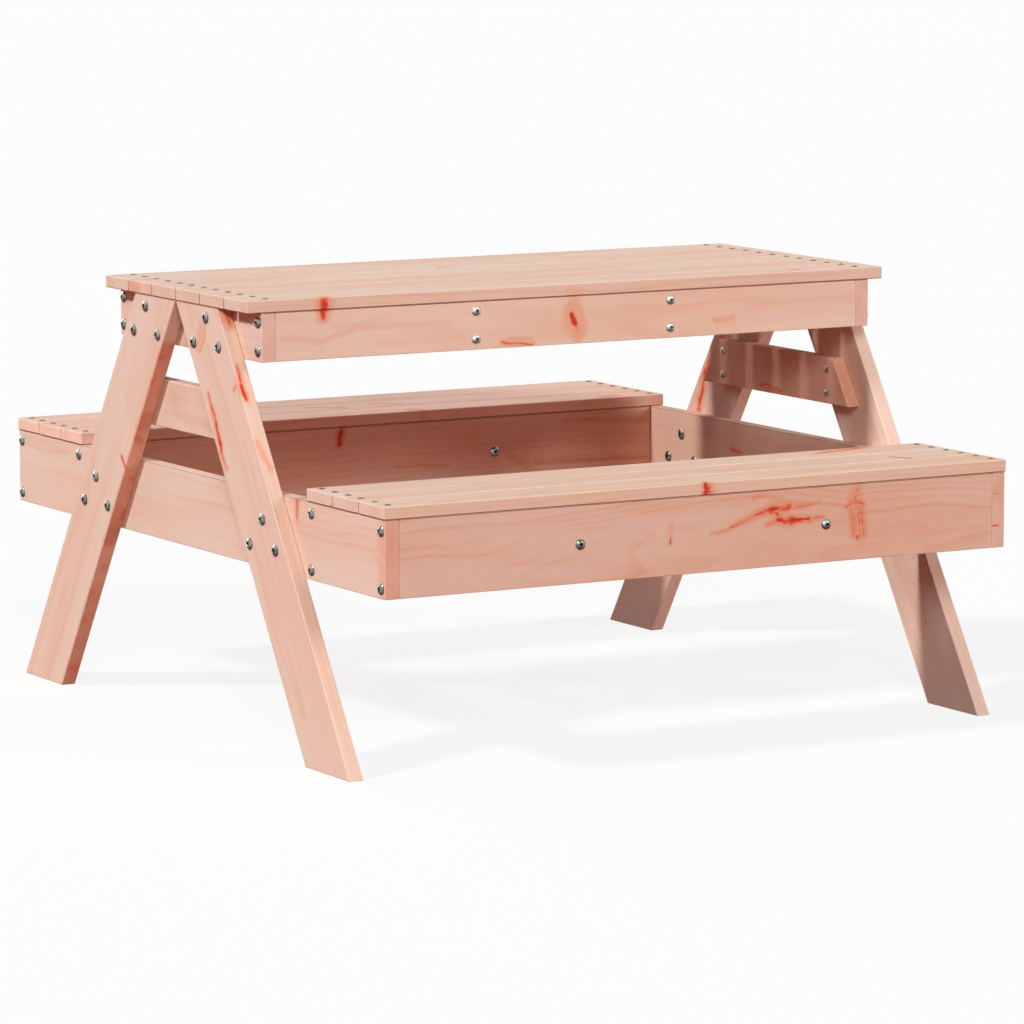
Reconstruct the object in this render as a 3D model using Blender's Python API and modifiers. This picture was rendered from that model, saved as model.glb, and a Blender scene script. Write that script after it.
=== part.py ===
"""Kids picnic table in bare softwood, 88 cm long, 96 cm over its benches and 52 cm high.

A slatted table and two slatted benches are held by two A-frames of leaning legs. Each A-frame
has two boards cut flat at the floor and under the slats, and they nearly meet at the top. A
table end board and one long bench end board are bolted across them, with a brace in between.

X runs along the table, Y across it with the front bench at -Y, and Z up from the floor. The
origin is on the floor under the middle of the table. All sizes are in metres.
"""

import math

import bmesh
import bpy
from mathutils import Matrix, Vector

# Table top
table_height = 0.5232
table_length = 0.879
table_slat_count = 6
table_slat_width = 0.0592
table_slat_thickness = 0.0147
table_slat_gap = 0.0034
table_side_overhang = 0.0018
table_end_overhang = 0.019

# Frame under the table top
apron_height = 0.0575
crossbar_count = 2
crossbar_spread_share = 0.335

# Benches
bench_height = 0.3176
bench_inner_edge = 0.2958
bench_slat_count = 3
bench_slat_width = 0.0596
bench_slat_thickness = 0.0147
bench_slat_gap = 0.0027
bench_side_overhang = 0.0006
bench_end_overhang = 0.0012
bench_board_height = 0.090
spacer_height = 0.060
spacer_spread_share = 0.415

# Boards of the frame and the A-frames
board_thickness = 0.018
leg_width = 0.090
leg_foot_inner = 0.3224
leg_top_gap = 0.0012
brace_height = 0.0577
brace_level_share = 0.507
brace_reach_share = 0.63
edge_round = 0.0012
edge_round_steps = 2

# Bolts through the legs, in threes, with a sleeve nut on the inside
bolt_shank_diameter = 0.006
bolt_head_diameter = 0.0138
bolt_head_height = 0.0036
bolt_dome_steps = 3
bolt_socket_across = 0.004
bolt_socket_depth = 0.002
bolt_sides = 12
bolt_spread_share = 0.30
bolt_outward_share = 0.067
table_bolt_low_share = 0.22
table_bolt_high_share = 0.772
bench_bolt_low_share = 0.322
bench_bolt_high_share = 0.681

# Fits
seat_gap = 0.0003
bolt_hole_clearance = 0.0003
cutter_excess = 0.004
merge_distance = 0.00001

# Colours and finish
sawn_pine = "e3bda6"
pink_pine = "e8c3b2"
warm_pine = "ddb196"
bright_zinc = "b9bcbd"
wood_roughness = 0.72
zinc_roughness = 0.32

# Heights and widths that follow
slat_underside = table_height - table_slat_thickness
frame_top = slat_underside - seat_gap
apron_middle = frame_top - apron_height / 2
table_width = table_slat_count * table_slat_width + (table_slat_count - 1) * table_slat_gap
frame_length = table_length - 2 * table_end_overhang
frame_width = table_width - 2 * table_side_overhang
inside_length = frame_length - 2 * board_thickness - 2 * seat_gap
inside_width = frame_width - 2 * board_thickness - 2 * seat_gap
end_board_x = (frame_length - board_thickness) / 2

bench_frame_top = bench_height - bench_slat_thickness - seat_gap
bench_board_middle = bench_frame_top - bench_board_height / 2
bench_depth = bench_slat_count * bench_slat_width + (bench_slat_count - 1) * bench_slat_gap
bench_length = frame_length + 2 * bench_end_overhang
bench_inner_y = bench_inner_edge + bench_side_overhang + board_thickness / 2
bench_outer_y = bench_inner_edge + bench_depth - bench_side_overhang - board_thickness / 2
bench_frame_width = 2 * bench_outer_y + board_thickness
spacer_length = bench_outer_y - bench_inner_y - board_thickness - 2 * seat_gap

leg_top_inner = leg_top_gap / 2
leg_lean = math.atan2(leg_foot_inner - leg_top_inner, frame_top)
leg_cut_width = leg_width / math.cos(leg_lean)
leg_x = frame_length / 2 + seat_gap + board_thickness / 2
joint_thickness = 2 * board_thickness + seat_gap
joint_middle_x = (end_board_x + leg_x) / 2
apron_bottom = frame_top - apron_height
brace_middle_height = bench_frame_top + brace_level_share * (apron_bottom - bench_frame_top)

side_names_x = {-1: "left", 1: "right"}
side_names_y = {-1: "front", 1: "rear"}


def leg_inner(height):
    """Distance of a leg's inner edge from the middle of the table at this height."""
    return leg_foot_inner - height * math.tan(leg_lean)


def linear(value):
    return value / 12.92 if value <= 0.04045 else ((value + 0.055) / 1.055) ** 2.4


def finish(name, colour, roughness, metallic=0.0):
    """A plain material from a colour written as six hexadecimal digits."""
    material = bpy.data.materials.new(name)
    material.use_nodes = True
    shader = material.node_tree.nodes["Principled BSDF"]
    channels = [linear(int(colour[at : at + 2], 16) / 255) for at in (0, 2, 4)]
    shader.inputs["Base Color"].default_value = (*channels, 1.0)
    shader.inputs["Roughness"].default_value = roughness
    shader.inputs["Metallic"].default_value = metallic
    return material


def group(name, parent=None):
    """An empty that carries one part of the furniture."""
    empty = bpy.data.objects.new(name, None)
    empty.parent = parent
    parts.objects.link(empty)
    return empty


def mesh_of(name, shape):
    """The finished mesh of a shape, which is freed."""
    mesh = bpy.data.meshes.new(name)
    shape.to_mesh(mesh)
    shape.free()
    return mesh


def place(name, mesh, location, parent, material):
    """One piece of the table, with the middle of its mesh at a location."""
    piece = bpy.data.objects.new(name, mesh)
    piece.location = location
    piece.parent = parent
    if not mesh.materials:
        mesh.materials.append(material)
    parts.objects.link(piece)
    return piece


def ease_edges(piece):
    """Sanded edges, as on planed softwood."""
    bevel = piece.modifiers.new("Eased edges", "BEVEL")
    bevel.width = edge_round
    bevel.segments = edge_round_steps
    bevel.limit_method = "ANGLE"


def cut(piece, cutter):
    holes = piece.modifiers.new("Bolt holes", "BOOLEAN")
    holes.operation = "DIFFERENCE"
    holes.object = cutter


def straight_board(name, size, location, parent, material):
    """A board sawn square, with size along X, Y and Z."""
    shape = bmesh.new()
    bmesh.ops.create_cube(shape, size=1.0, matrix=Matrix.Diagonal((*size, 1.0)))
    board = place(name, mesh_of(name, shape), location, parent, material)
    ease_edges(board)
    return board


def saw(shape, point, normal):
    """Saws off what lies beyond a plane, on the side of its normal."""
    board = shape.verts[:] + shape.edges[:] + shape.faces[:]
    sawn = bmesh.ops.bisect_plane(shape, geom=board, plane_co=point, plane_no=normal, clear_outer=True)
    rim = [part for part in sawn["geom_cut"] if isinstance(part, bmesh.types.BMEdge)]
    bmesh.ops.edgeloop_fill(shape, edges=rim)
    bmesh.ops.recalc_face_normals(shape, faces=shape.faces[:])


def leaning_leg(name, side_x, side_y, parent, material):
    """A straight board set at the lean of the A-frame and sawn level at both ends."""
    longest = frame_top / math.cos(leg_lean) + 2 * leg_cut_width
    middle = frame_top / 2
    shape = bmesh.new()
    size = (board_thickness, leg_width, longest, 1.0)
    bmesh.ops.create_cube(shape, size=1.0, matrix=Matrix.Diagonal(size))
    bmesh.ops.rotate(shape, verts=shape.verts[:], matrix=Matrix.Rotation(side_y * leg_lean, 3, "X"))
    saw(shape, Vector((0, 0, middle)), Vector((0, 0, 1)))
    saw(shape, Vector((0, 0, -middle)), Vector((0, 0, -1)))
    location = (side_x * leg_x, side_y * (leg_inner(middle) + leg_cut_width / 2), middle)
    leg = place(name, mesh_of(name, shape), location, parent, material)
    ease_edges(leg)
    return leg


def slanted_brace(name, side_x, parent, material):
    """A board across both legs, with each end sawn along the lean of its leg."""
    reach = leg_inner(brace_middle_height) + brace_reach_share * leg_cut_width
    shape = bmesh.new()
    size = (board_thickness, 2 * (reach + brace_height), brace_height, 1.0)
    bmesh.ops.create_cube(shape, size=1.0, matrix=Matrix.Diagonal(size))
    for side_y in (-1, 1):
        out = Vector((0, side_y * math.cos(leg_lean), math.sin(leg_lean)))
        saw(shape, Vector((0, side_y * reach, 0)), out)
    location = (side_x * end_board_x, 0, brace_middle_height)
    brace = place(name, mesh_of(name, shape), location, parent, material)
    ease_edges(brace)
    return brace


def bolt_points(side_y):
    """Three bolts at each crossing of a leg and a board: two side by side and one above them."""
    bench_board_bottom = bench_frame_top - bench_board_height
    crossings = (
        ("table", apron_bottom, apron_height, table_bolt_low_share, table_bolt_high_share),
        ("bench", bench_board_bottom, bench_board_height, bench_bolt_low_share, bench_bolt_high_share),
    )
    for crossing, bottom, height, low_share, high_share in crossings:
        low = bottom + low_share * height
        high = bottom + high_share * height
        leg_middle = leg_inner((low + high) / 2) + leg_cut_width / 2
        middle_y = leg_middle + bolt_outward_share * leg_cut_width
        half_spread = bolt_spread_share * leg_cut_width
        yield crossing + "_upper", side_y * middle_y, high
        yield crossing + "_inner", side_y * (middle_y - half_spread), low
        yield crossing + "_outer", side_y * (middle_y + half_spread), low


def bolt_mesh(material):
    """A domed bolt and its domed sleeve nut, turned about Z with the bolt's head on top."""
    head = bolt_head_diameter / 2
    shank = bolt_shank_diameter / 2
    seat = joint_thickness / 2 + seat_gap
    angles = [math.pi / 2 * step / bolt_dome_steps for step in range(bolt_dome_steps + 1)]
    dome = [(head * math.sin(angle), seat + bolt_head_height * math.cos(angle)) for angle in angles]
    nut_dome = [(radius, -height) for radius, height in reversed(dome)]
    profile = dome + [(shank, seat), (shank, -seat)] + nut_dome

    shape = bmesh.new()
    points = [shape.verts.new((radius, 0, height)) for radius, height in profile]
    for first, second in zip(points, points[1:]):
        shape.edges.new((first, second))
    turned = bpy.data.objects.new("bolt_profile", mesh_of("bolt_profile", shape))
    cutters.objects.link(turned)
    lathe = turned.modifiers.new("Turned", "SCREW")
    lathe.axis = "Z"
    lathe.steps = lathe.render_steps = bolt_sides
    lathe.use_merge_vertices = True
    lathe.merge_threshold = merge_distance

    top = seat + bolt_head_height
    corner = bolt_socket_across / 2 / math.cos(math.pi / 6)
    key = bmesh.new()
    for end in (-1, 1):
        bmesh.ops.create_cone(
            key,
            cap_ends=True,
            segments=6,
            radius1=corner,
            radius2=corner,
            depth=2 * bolt_socket_depth,
            matrix=Matrix.Translation((0, 0, end * top)),
        )
    sockets = bpy.data.objects.new("bolt_sockets", mesh_of("bolt_sockets", key))
    cutters.objects.link(sockets)
    hide_guide(sockets)
    cut(turned, sockets)

    graph = bpy.context.evaluated_depsgraph_get()
    finished = bpy.data.meshes.new_from_object(turned.evaluated_get(graph))
    finished.name = "leg_bolt"
    bpy.data.objects.remove(turned)
    finished.materials.clear()
    finished.materials.append(material)
    finished.shade_smooth()
    finished.set_sharp_from_angle(angle=math.radians(35))
    return finished


def hide_guide(guide):
    guide.hide_render = True
    guide.display_type = "WIRE"


def bolt_hole_cutter(side_x):
    """All the bolt holes of one A-frame, through the legs and the boards bolted to them."""
    shape = bmesh.new()
    radius = bolt_shank_diameter / 2 + bolt_hole_clearance
    across = Matrix.Rotation(math.pi / 2, 4, "Y")
    for side_y in (-1, 1):
        for _, y, z in bolt_points(side_y):
            bmesh.ops.create_cone(
                shape,
                cap_ends=True,
                segments=bolt_sides,
                radius1=radius,
                radius2=radius,
                depth=joint_thickness + 2 * cutter_excess,
                matrix=Matrix.Translation((0, y, z)) @ across,
            )
    name = "bolt_holes_" + side_names_x[side_x]
    cutter = bpy.data.objects.new(name, mesh_of(name, shape))
    cutter.location.x = side_x * joint_middle_x
    cutters.objects.link(cutter)
    hide_guide(cutter)
    return cutter


for leftover in list(bpy.data.objects):
    bpy.data.objects.remove(leftover)

parts = bpy.data.collections.new("Kids picnic table")
cutters = bpy.data.collections.new("Cutters")
bpy.context.scene.collection.children.link(parts)
bpy.context.scene.collection.children.link(cutters)

slat_wood = finish("Sawn pine slats", sawn_pine, wood_roughness)
frame_wood = finish("Pink pine frame boards", pink_pine, wood_roughness)
rail_wood = finish("Warm pine long boards", warm_pine, wood_roughness)
zinc = finish("Bright zinc bolts", bright_zinc, zinc_roughness, 1.0)

whole = group("kids_picnic_table")
top_group = group("table_top", whole)

# Table slats, numbered from the front
slat_pitch = table_slat_width + table_slat_gap
first_slat_y = -(table_slat_count - 1) / 2 * slat_pitch
for number in range(table_slat_count):
    straight_board(
        f"table_slat_{number + 1}",
        (table_length, table_slat_width, table_slat_thickness),
        (0, first_slat_y + number * slat_pitch, table_height - table_slat_thickness / 2),
        top_group,
        slat_wood,
    )

# Table frame: two long boards between two end boards, and bars across under the slats
for side_y, side in side_names_y.items():
    straight_board(
        f"table_apron_{side}",
        (inside_length, board_thickness, apron_height),
        (0, side_y * (frame_width - board_thickness) / 2, apron_middle),
        top_group,
        rail_wood,
    )
for number in range(crossbar_count):
    side_x = 2 * number / (crossbar_count - 1) - 1
    straight_board(
        f"table_crossbar_{number + 1}",
        (board_thickness, inside_width, apron_height),
        (side_x * crossbar_spread_share * inside_length / 2, 0, apron_middle),
        top_group,
        frame_wood,
    )

# Benches: slats on a frame of two long boards with spacers between them
for side_y, side in side_names_y.items():
    bench = group(f"{side}_bench", whole)
    for number in range(bench_slat_count):
        offset = bench_inner_edge + bench_slat_width / 2 + number * (bench_slat_width + bench_slat_gap)
        straight_board(
            f"{side}_bench_slat_{number + 1}",
            (bench_length, bench_slat_width, bench_slat_thickness),
            (0, side_y * offset, bench_height - bench_slat_thickness / 2),
            bench,
            slat_wood,
        )
    for row, y in (("inner", bench_inner_y), ("outer", bench_outer_y)):
        straight_board(
            f"{side}_bench_{row}_board",
            (inside_length, board_thickness, bench_board_height),
            (0, side_y * y, bench_board_middle),
            bench,
            rail_wood,
        )
    for side_x, end in side_names_x.items():
        straight_board(
            f"{side}_bench_spacer_{end}",
            (board_thickness, spacer_length, spacer_height),
            (
                side_x * spacer_spread_share * inside_length / 2,
                side_y * (bench_inner_y + bench_outer_y) / 2,
                bench_board_middle,
            ),
            bench,
            frame_wood,
        )

# A-frames: end boards inside the legs, a brace between them, and the bolts
bolt_shape = bolt_mesh(zinc)
for side_x, end in side_names_x.items():
    frame = group(f"a_frame_{end}", whole)
    holes = bolt_hole_cutter(side_x)
    apron = straight_board(
        f"table_end_board_{end}",
        (board_thickness, frame_width, apron_height),
        (side_x * end_board_x, 0, apron_middle),
        frame,
        frame_wood,
    )
    crossing = straight_board(
        f"bench_end_board_{end}",
        (board_thickness, bench_frame_width, bench_board_height),
        (side_x * end_board_x, 0, bench_board_middle),
        frame,
        frame_wood,
    )
    cut(apron, holes)
    cut(crossing, holes)
    slanted_brace(f"leg_brace_{end}", side_x, frame, frame_wood)
    for side_y, side in side_names_y.items():
        leg = leaning_leg(f"leg_{side}_{end}", side_x, side_y, frame, frame_wood)
        cut(leg, holes)
        for point, y, z in bolt_points(side_y):
            location = (side_x * joint_middle_x, y, z)
            bolt = place(f"bolt_{side}_{end}_{point}", bolt_shape, location, frame, zinc)
            bolt.rotation_euler.y = side_x * math.pi / 2
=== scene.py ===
"""Looks of the kids picnic table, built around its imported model.

The table is bare planed softwood held by zinc-plated screws and bolts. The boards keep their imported
solids and get a solid wood grain each. The bolts and screws are modelled here in finer detail.
X runs along the table, the front bench is at -Y and Z is up. All sizes are in metres.
"""

import math
import random

import bmesh
import bpy
from mathutils import Matrix, Vector


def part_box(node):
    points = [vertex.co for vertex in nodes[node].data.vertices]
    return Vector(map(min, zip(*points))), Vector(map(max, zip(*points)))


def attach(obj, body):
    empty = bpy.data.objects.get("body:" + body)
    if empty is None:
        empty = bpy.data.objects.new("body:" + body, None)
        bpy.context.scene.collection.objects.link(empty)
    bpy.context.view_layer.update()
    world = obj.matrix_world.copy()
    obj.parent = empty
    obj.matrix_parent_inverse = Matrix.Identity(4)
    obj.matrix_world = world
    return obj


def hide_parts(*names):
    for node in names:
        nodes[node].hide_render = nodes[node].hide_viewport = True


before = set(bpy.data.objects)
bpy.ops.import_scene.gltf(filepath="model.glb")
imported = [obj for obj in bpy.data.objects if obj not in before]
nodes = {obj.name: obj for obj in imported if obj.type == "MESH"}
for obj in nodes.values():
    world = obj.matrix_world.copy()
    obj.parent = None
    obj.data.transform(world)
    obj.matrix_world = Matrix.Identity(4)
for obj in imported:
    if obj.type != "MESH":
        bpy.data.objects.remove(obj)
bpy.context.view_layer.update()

# The starting cube, light and camera have no place in this scene.
for unused in ("Cube", "Light", "Camera"):
    if unused in bpy.data.objects:
        bpy.data.objects.remove(bpy.data.objects[unused])

# Camera
# A long lens nearly seven metres away, just above the height of the table, looks at the left end and
# the front bench, so that the far edges stay almost as long as the near ones.
camera_place = Vector((-3.3258, -5.7731, 1.1473))
camera_azimuth = math.radians(-30.102)
camera_elevation = math.radians(7.874)
camera_roll = math.radians(0.040)
sensor_width = 36.0
lens_length = 192.6
view_reach = 100.0


def heading(azimuth, elevation):
    """The unit vector that points to an azimuth, counted from the front, and a height above the floor."""
    return Vector((
        math.sin(azimuth) * math.cos(elevation),
        -math.cos(azimuth) * math.cos(elevation),
        math.sin(elevation),
    ))


camera_data = bpy.data.cameras.new("long_lens")
camera_data.sensor_width = sensor_width
camera_data.lens = lens_length
camera_data.clip_end = view_reach
camera = bpy.data.objects.new("long_lens", camera_data)
bpy.context.scene.collection.objects.link(camera)
camera.location = camera_place
camera_aim = heading(camera_azimuth, camera_elevation).to_track_quat("Z", "Y")
camera.rotation_mode = "QUATERNION"
camera.rotation_quaternion = camera_aim @ Matrix.Rotation(camera_roll, 3, "Z").to_quaternion()
bpy.context.scene.camera = camera
bpy.context.scene.view_settings.view_transform = "Standard"


# Studio
# A white floor and a white surround, a small hard softbox far to the left, two broad ones in front and
# one behind. A warm glow comes in low from the front right. The floor and the rest of the surround send
# little light back, and what the floor sends is red brown.
lamps = {
    "left_softbox": {"azimuth": -92, "elevation": 40, "width": 6, "strength": 2.45},
    "front_left_softbox": {"azimuth": -28, "elevation": 26, "width": 18, "strength": 1.36},
    "front_right_softbox": {"azimuth": 35, "elevation": 21, "width": 18, "strength": 1.17},
    "rear_softbox": {"azimuth": 195, "elevation": 18, "width": 40, "strength": 0.85},
}
low_surround_colour = "ffcab8"
low_front_direction = (0.5, -0.87, 0.0)
low_front_strength = 1.5
low_rear_strength = 0.04
low_front_start = 0.15
high_surround_colour = "c8dcff"
high_surround_strength = 0.05
lamp_distance = 3
floor_half = 40.0
floor_colour = "f4f3f1"
floor_bounce_colour = "8e3824"
floor_glow_share = 0.85

# In a ramp, 1 and 2 are the input at its start and end, and 3 and 4 are what it gives there.
high_surround_rise = {1: 0.05, 2: 0.35}


def linear(hex_colour):
    """An sRGB hex colour as the linear numbers that a node takes."""
    parts = [int(hex_colour[i:i + 2], 16) / 255 for i in (0, 2, 4)]
    return [((p + 0.055) / 1.055) ** 2.4 if p > 0.04045 else p / 12.92 for p in parts] + [1.0]


def add(tree, kind, values=None, **settings):
    """Adds a node, sets its properties, and gives its inputs a value each or a link from a socket."""
    node = tree.nodes.new(kind)
    for name, setting in settings.items():
        setattr(node, name, setting)
    for key, value in (values or {}).items():
        if isinstance(value, bpy.types.NodeSocket):
            tree.links.new(value, node.inputs[key])
        else:
            node.inputs[key].default_value = value
    return node


def empty_material(name):
    """A material without any node yet, and its node tree."""
    material = bpy.data.materials.new(name)
    material.use_nodes = True
    material.node_tree.nodes.clear()
    return material, material.node_tree


def seen_directly(tree):
    """1 for camera, mirror and glass rays, which see the white studio, and 0 for rays that carry light."""
    path = add(tree, "ShaderNodeLightPath")
    shown = path.outputs["Is Camera Ray"]
    for ray in ("Is Glossy Ray", "Is Transmission Ray"):
        shown = add(tree, "ShaderNodeMath", {0: shown, 1: path.outputs[ray]}, operation="MAXIMUM").outputs[0]
    return shown


for name, lamp in lamps.items():
    toward = heading(math.radians(lamp["azimuth"]), math.radians(lamp["elevation"]))
    data = bpy.data.lights.new(name, "SUN")
    data.angle = math.radians(lamp["width"])
    data.energy = lamp["strength"]
    light = bpy.data.objects.new(name, data)
    bpy.context.scene.collection.objects.link(light)
    light.rotation_mode = "QUATERNION"
    light.rotation_quaternion = toward.to_track_quat("Z", "Y")
    light.location = toward * lamp_distance

world = bpy.data.worlds.new("white studio")
bpy.context.scene.world = world
world.use_nodes = True
tree = world.node_tree
tree.nodes.clear()
direction = add(tree, "ShaderNodeTexCoord").outputs["Generated"]
parts = add(tree, "ShaderNodeSeparateXYZ", {0: direction}).outputs
high = add(tree, "ShaderNodeMapRange", {0: parts[2], **high_surround_rise}).outputs[0]
toward_front = add(
    tree, "ShaderNodeVectorMath", {0: direction, 1: low_front_direction}, operation="DOT_PRODUCT"
).outputs["Value"]
low_strength = add(tree, "ShaderNodeMapRange", {
    0: toward_front, 1: low_front_start, 2: 1.0, 3: low_rear_strength, 4: low_front_strength,
}).outputs[0]
low_light = add(tree, "ShaderNodeBackground", {
    "Color": linear(low_surround_colour), "Strength": low_strength,
})
high_light = add(tree, "ShaderNodeBackground", {
    "Color": linear(high_surround_colour), "Strength": high_surround_strength,
})
soft_light = add(tree, "ShaderNodeMixShader", {0: high, 1: low_light.outputs[0], 2: high_light.outputs[0]})
surround = add(tree, "ShaderNodeBackground", {"Color": (1, 1, 1, 1), "Strength": 1.0})
mixed = add(
    tree, "ShaderNodeMixShader", {0: seen_directly(tree), 1: soft_light.outputs[0], 2: surround.outputs[0]}
)
add(tree, "ShaderNodeOutputWorld", {"Surface": mixed.outputs[0]})

floor_material, tree = empty_material("white floor")
bounce = add(tree, "ShaderNodeBsdfDiffuse", {"Color": linear(floor_bounce_colour)})
paper = add(tree, "ShaderNodeBsdfDiffuse", {"Color": linear(floor_colour)})
glow = add(tree, "ShaderNodeEmission", {"Color": (1, 1, 1, 1), "Strength": 1.0})
shown = add(tree, "ShaderNodeMixShader", {0: floor_glow_share, 1: paper.outputs[0], 2: glow.outputs[0]})
mixed = add(
    tree, "ShaderNodeMixShader", {0: seen_directly(tree), 1: bounce.outputs[0], 2: shown.outputs[0]}
)
add(tree, "ShaderNodeOutputMaterial", {"Surface": mixed.outputs[0]})

shape = bmesh.new()
bmesh.ops.create_grid(shape, x_segments=1, y_segments=1, size=floor_half)
floor_mesh = bpy.data.meshes.new("studio_floor")
shape.to_mesh(floor_mesh)
shape.free()
floor_mesh.materials.append(floor_material)
floor = bpy.data.objects.new("studio_floor", floor_mesh)
bpy.context.scene.collection.objects.link(floor)


# Table slats
# Six planed softwood boards, 59 mm wide and 15 mm thick, each screwed down to both end boards. The wood
# is bare: pale sapwood, soft honey growth rings some 6 mm apart, and red knots with a salmon rim.
ring_width = 0.0062
ring_wander = 0.007
ring_wander_length = 0.36
ring_wander_width = 0.09
ring_wander_gain = 4.0
ring_wander_detail = 2.5
ring_share = 0.36
late_wood_rise = {1: 0.40, 2: 0.80}
late_wood_fall = {1: 0.86, 2: 1.0, 3: 1.0, 4: 0.0}
late_wood_strength = {3: 0.12, 4: 1.0}
late_wood_patches = {1: 0.35, 2: 0.60, 3: 0.35, 4: 1.0}
late_wood_height = 0.5
pith_side_share = 0.9
pith_depths = (0.022, 0.075)
pith_along_reach = 8
dark_streaks = {1: 0.54, 2: 0.80, 3: 0.0, 4: 0.28}
pale_streaks = {1: 0.25, 2: 0.47, 3: 0.45, 4: 0.0}
warm_blotches = {1: 0.35, 2: 0.65}
fibre_spread = {1: 0.25, 2: 0.75}
fibre_depth = 0.00012
fray_length = 0.016
fray_width = 0.005
fray_detail = 2.0
fray_spread = {1: 0.25, 2: 0.75, 3: -0.65, 4: 0.65}
waver_width = 0.02
waver_detail = 1.0
waver_reach = 0.006
rim_strength = {1: -0.4, 2: 0.1, 3: 0.2, 4: 0.66}
rim_fade = {1: 0.4, 2: 1.8, 4: 0.0}
heart_rise = {1: -0.40, 2: 0.55}
heart_red = {1: 0.0, 2: 0.85}
heart_core = {1: 0.75, 2: 1.0, 3: 0.0, 4: 0.5}
heart_polish = 0.18
ring_bulge = {1: 0.0, 2: 2.2, 3: 0.4, 4: 0.0}
# A pale band of painted highlight along the edges of every board.
edge_highlight_band = {1: 0.0003, 2: 0.0022, 3: 0.35, 4: 0.0}
# A dark band of painted shade along the joint under the slats, on upright faces only.
joint_shade_band = {1: 0.0005, 2: 0.0017, 3: 0.9, 4: 0.0}
joint_shade_upright = {1: 0.75, 2: 0.95, 3: 1.0, 4: 0.0}
end_grain_face = {1: 0.70, 2: 0.82}
end_grain_share = 0.12
wood_roughness = {3: 0.68, 4: 0.60}
wood_specular = 0.15

# Length, width, detail and shift aside of the patterns that are drawn out along the grain, and what a
# fibre does to red, green and blue at its darkest and at its lightest.
blotch_pattern = (0.40, 0.05, 2.0, 0)
streak_pattern = (0.26, 0.012, 3.0, 7)
fibre_pattern = (0.055, 0.0018, 2.0, 13)
fibre_shades = ((0.985, 1.01), (0.97, 1.02), (0.96, 1.025))

# Three colours a board: its pale sapwood, its warm patches and its growth rings.
tints = {
    "pale": ("e6cbba", "e4c2ae", "dda582"),
    "rosy": ("e5c7b8", "e2bba9", "dca082"),
    "honey": ("e6cbb6", "e4c0a8", "dfa77b"),
    "ruddy": ("e2c2ae", "e0b69f", "da976c"),
    "table": ("e2c9b7", "e1bfab", "daa281"),
    "blush": ("f8d1bf", "f5c5ae", "eba98a"),
    "brown": ("f1c7b0", "eeb79c", "e09573"),
    "umber": ("e6b7a0", "e3a98e", "d58968"),
}
knot_rim_colour = "e18f69"
knot_heart_colour = "de4a31"
knot_core_colour = "a02a1c"
end_grain_colour = "d39a80"
edge_highlight_colour = "efd6c6"
joint_shade_colour = "773f2b"
noise_middle = (0.5, 0.5, 0.5)
smooth = {"interpolation_type": "SMOOTHSTEP"}
coloured = {"data_type": "RGBA"}


def sockets(tree, inputs, outputs):
    """Gives a node group its inputs and outputs and returns the two nodes that hold them."""
    for direction, wanted in (("INPUT", inputs), ("OUTPUT", outputs)):
        for name, kind in wanted:
            tree.interface.new_socket(name, in_out=direction, socket_type="NodeSocket" + kind)
    return tree.nodes.new("NodeGroupInput"), tree.nodes.new("NodeGroupOutput")


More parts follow.
